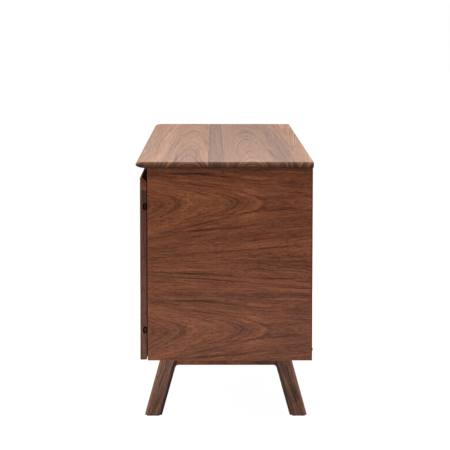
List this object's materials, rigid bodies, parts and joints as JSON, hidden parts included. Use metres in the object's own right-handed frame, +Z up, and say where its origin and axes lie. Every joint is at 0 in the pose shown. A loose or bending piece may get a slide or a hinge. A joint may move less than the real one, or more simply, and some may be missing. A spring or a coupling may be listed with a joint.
{
  "type": "television console cabinet",
  "caption": "Long low walnut media console on splayed leg frames, with hinged side doors, an open middle niche over a drawer, and bevelled finger pulls under the top.",
  "frame": {"origin": "on the floor, under the middle of the cabinet's length and depth", "axes": "+X along the length towards the right end as seen from the front, -Y towards the front (doors and drawer), +Y towards the back, +Z up"},
  "size_m": [1.8, 0.45, 0.662],
  "materials": {
    "walnut_solid_top": "oiled satin solid walnut staves",
    "walnut_veneer": "satin lacquered walnut veneer",
    "walnut_solid": "satin oiled solid walnut",
    "walnut_inner": "matt lacquered walnut veneer",
    "walnut_ply_back": "matt walnut-faced plywood",
    "maple_drawer_box": "clear lacquered maple",
    "dark_bronze": "dark bronzed brass",
    "zinc_steel": "bright zinc plate",
    "felt_pad": "dense dark felt",
    "brown_plastic": "matt moulded plastic"
  },
  "bodies": {
    "cabinet": {"top_panel": "walnut_solid_top", "inner_top_panel": "walnut_inner", "bottom_panel": "walnut_inner", "niche_shelf": "walnut_veneer", "back_panel": "walnut_ply_back", "right_end_panel": "walnut_veneer", "right_divider": "walnut_inner", "right_shelf": "walnut_inner", "right_shelf_bearer_divider": "walnut_solid", "right_shelf_bearer_end": "walnut_solid", "right_front_leg": "walnut_solid", "right_rear_leg": "walnut_solid", "right_leg_rail": "walnut_solid", "right_front_foot_pad": "felt_pad", "right_rear_foot_pad": "felt_pad", "right_door_catch": "brown_plastic", "right_lower_hinge_frame_leaf": "dark_bronze", "right_lower_hinge_pin": "dark_bronze", "right_upper_hinge_frame_leaf": "dark_bronze", "right_upper_hinge_pin": "dark_bronze", "right_slide_outer": "zinc_steel", "left_end_panel": "walnut_veneer", "left_divider": "walnut_inner", "left_shelf": "walnut_inner", "left_shelf_bearer_divider": "walnut_solid", "left_shelf_bearer_end": "walnut_solid", "left_front_leg": "walnut_solid", "left_rear_leg": "walnut_solid", "left_leg_rail": "walnut_solid", "left_front_foot_pad": "felt_pad", "left_rear_foot_pad": "felt_pad", "left_door_catch": "brown_plastic", "left_lower_hinge_frame_leaf": "dark_bronze", "left_lower_hinge_pin": "dark_bronze", "left_upper_hinge_frame_leaf": "dark_bronze", "left_upper_hinge_pin": "dark_bronze", "left_slide_outer": "zinc_steel"},
    "right_door": {"right_door_panel": "walnut_veneer", "right_door_grip_rail": "walnut_veneer", "right_door_hinge_stile": "walnut_solid", "right_door_closing_stile": "walnut_solid", "right_lower_hinge_door_leaf": "dark_bronze", "right_upper_hinge_door_leaf": "dark_bronze"},
    "left_door": {"left_door_panel": "walnut_veneer", "left_door_grip_rail": "walnut_veneer", "left_door_hinge_stile": "walnut_solid", "left_door_closing_stile": "walnut_solid", "left_lower_hinge_door_leaf": "dark_bronze", "left_upper_hinge_door_leaf": "dark_bronze"},
    "drawer": {"drawer_front": "walnut_veneer", "drawer_grip_rail": "walnut_veneer", "drawer_left_side": "maple_drawer_box", "drawer_right_side": "maple_drawer_box", "drawer_back": "maple_drawer_box", "drawer_bottom": "maple_drawer_box", "right_slide_inner": "zinc_steel", "left_slide_inner": "zinc_steel"},
    "slide_middle": {"right_slide_middle": "zinc_steel", "left_slide_middle": "zinc_steel"}
  },
  "joints": [
    {"name": "right_door_hinge", "type": "hinge", "parent": "cabinet", "child": "right_door", "pos_m": [0.8865, -0.2011, 0.39], "axis": [0, 0, 1], "range_deg": [0, 100]},
    {"name": "left_door_hinge", "type": "hinge", "parent": "cabinet", "child": "left_door", "pos_m": [-0.8865, -0.2011, 0.39], "axis": [0, 0, -1], "range_deg": [0, 100]},
    {"name": "drawer_slide", "type": "slide", "parent": "cabinet", "child": "drawer", "axis": [0, -1, 0], "range_m": [0, 0.3]},
    {"name": "slide_middle_travel", "type": "slide", "parent": "cabinet", "child": "slide_middle", "axis": [0, -1, 0], "range_m": [0, 0.15]}
  ],
  "couplings": [
    {"joint": "slide_middle_travel", "follows": "drawer_slide", "ratio": 0.5}
  ]
}
